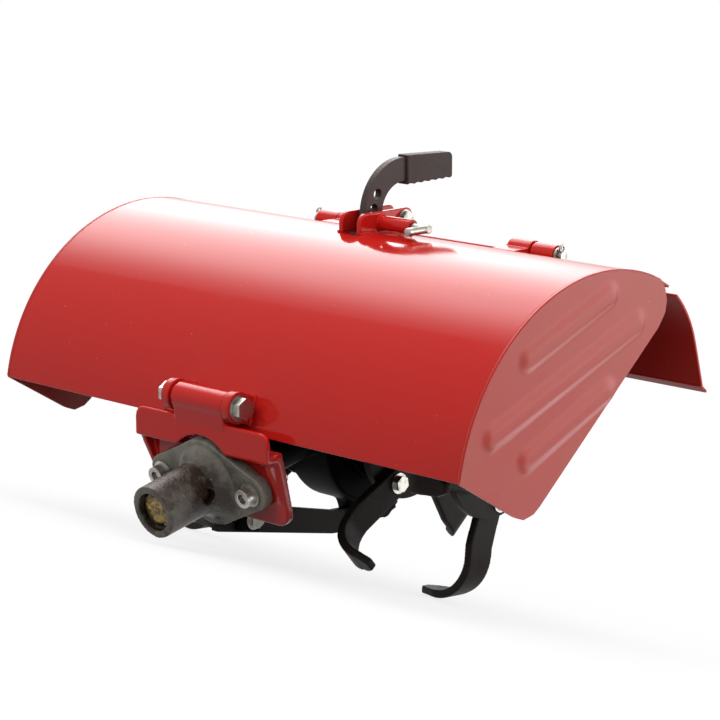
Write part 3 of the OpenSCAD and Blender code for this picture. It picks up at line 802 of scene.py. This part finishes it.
# each box: name, place, aim, size, watts, whether it lights, whether it is mirrored, brightness left at its edges
softBoxes = (
    ("topBox", (0.3, -0.2, 2.4), (0, 0.2, 0.15), (1.8, 1.8), 14, True, False, 0),
    ("frontBox", (-0.4, -2.6, 1.4), (0, 0.2, 0.15), (1.4, 1.4), 26, True, False, 0),
    ("rightBox", (2.6, 0.3, 1.3), (0, 0.2, 0.15), (1.2, 1.2), 12, True, False, 0),
    ("sideCard", (1.9, 2.2, 0.95), (0, 0.2, 0.15), (2.6, 1.9), 66, False, True, 0),
    ("floorCard", (0.85, 1.0, 0.0), (0.85, 1.0, 5), (1.3, 1.5), 28, False, True, 0),
    ("backCard", (-2.1, 0.9, 2.4), (0, 0.2, 0.15), (4.2, 3.6), 250, False, True, 0.16),
)


def softenLamp(lamp, rest):  # brightness falls off towards the lamp's edges
    lamp.use_nodes = True
    tree = lamp.node_tree
    tree.nodes.clear()
    across = addNode(
        tree, "ShaderNodeSeparateXYZ", {},
        {0: addNode(tree, "ShaderNodeNewGeometry").outputs["Parametric"]})
    fades = []
    for axis in (0, 1):
        edge = addNode(tree, "ShaderNodeMath", {"operation": "PINGPONG", 1: 0.5}, {0: across.outputs[axis]})
        fades.append(addNode(
            tree, "ShaderNodeMapRange", {"interpolation_type": "SMOOTHSTEP", "From Max": 0.32, "To Min": rest},
            {"Value": edge.outputs[0]}).outputs[0])
    strength = addNode(tree, "ShaderNodeMath", {"operation": "MULTIPLY"}, {0: fades[0], 1: fades[1]})
    glow = addNode(tree, "ShaderNodeEmission", {}, {"Strength": strength.outputs[0]})
    addNode(tree, "ShaderNodeOutputLight", {}, {0: glow.outputs[0]})


def makeStudio(look):
    material, tree, output, place = startMaterial("paleFloor")
    shader = addNode(
        tree, "ShaderNodeBsdfPrincipled", {"Base Color": linearColour(look["floor"]), "Roughness": 0.9})
    glow = addNode(tree, "ShaderNodeEmission", {"Color": (1, 1, 1, 1), "Strength": 1.0})
    path = addNode(tree, "ShaderNodeLightPath")
    seen = addNode(
        tree, "ShaderNodeMath", {"operation": "MAXIMUM"},
        {0: path.outputs["Is Camera Ray"], 1: path.outputs["Is Glossy Ray"]})
    away = addNode(tree, "ShaderNodeVectorMath", {"operation": "LENGTH"}, {0: place})
    glowing = addNode(
        tree, "ShaderNodeMapRange", {"From Min": 0.5, "From Max": 1.2, "To Min": look["floorGlow"], "To Max": 1.0},
        {"Value": away.outputs["Value"]})
    share = addNode(
        tree, "ShaderNodeMath", {"operation": "MULTIPLY"}, {0: seen.outputs[0], 1: glowing.outputs[0]})
    mixed = addNode(
        tree, "ShaderNodeMixShader", {},
        {0: share.outputs[0], 1: shader.outputs[0], 2: glow.outputs[0]})
    dull = addNode(
        tree, "ShaderNodeBsdfDiffuse", {"Color": linearColour(look["bounce"])})  # keeps the bounce from below low
    laid = addNode(
        tree, "ShaderNodeMixShader", {},
        {0: path.outputs["Is Diffuse Ray"], 1: mixed.outputs[0], 2: dull.outputs[0]})
    tree.links.new(laid.outputs[0], output.inputs[0])
    mesh = bpy.data.meshes.new("floor")
    r, h = look["reach"], look["floorHeight"]
    mesh.from_pydata([(-r, -r, h), (r, -r, h), (r, r, h), (-r, r, h)], [], [(0, 1, 2, 3)])
    mesh.materials.append(material)
    floor = bpy.data.objects.new("floor", mesh)
    scene.collection.objects.link(floor)
    world = bpy.data.worlds.new("studio")
    world.use_nodes = True
    scene.world = world
    tree = world.node_tree
    tree.nodes.clear()
    path = addNode(tree, "ShaderNodeLightPath")
    seen = addNode(
        tree, "ShaderNodeMath", {"operation": "MAXIMUM"},
        {0: path.outputs["Is Camera Ray"], 1: path.outputs["Is Glossy Ray"]})
    clear = addNode(
        tree, "ShaderNodeMath", {"operation": "MAXIMUM"},
        {0: seen.outputs[0], 1: path.outputs["Is Transmission Ray"]})
    light = addNode(tree, "ShaderNodeBackground", {"Color": (1, 1, 1, 1), "Strength": look["fill"]})
    white = addNode(tree, "ShaderNodeBackground", {"Color": (1, 1, 1, 1), "Strength": 1.0})
    both = addNode(
        tree, "ShaderNodeMixShader", {},
        {0: clear.outputs[0], 1: light.outputs[0], 2: white.outputs[0]})
    addNode(tree, "ShaderNodeOutputWorld", {}, {0: both.outputs[0]})
    for name, place, aim, size, power, lights, mirrored, rest in softBoxes:
        lamp = bpy.data.lights.new(name, "AREA")
        lamp.shape = "RECTANGLE"
        lamp.size, lamp.size_y = size
        lamp.energy = power
        box = bpy.data.objects.new(name, lamp)
        box.location = place
        box.rotation_euler = (Vector(aim) - Vector(place)).to_track_quat("-Z", "Y").to_euler()
        box.visible_camera = False
        box.visible_diffuse = lights
        box.visible_glossy = mirrored
        if mirrored:
            softenLamp(lamp, rest)
        scene.collection.objects.link(box)


makeStudio(studio)
print("studio lit")
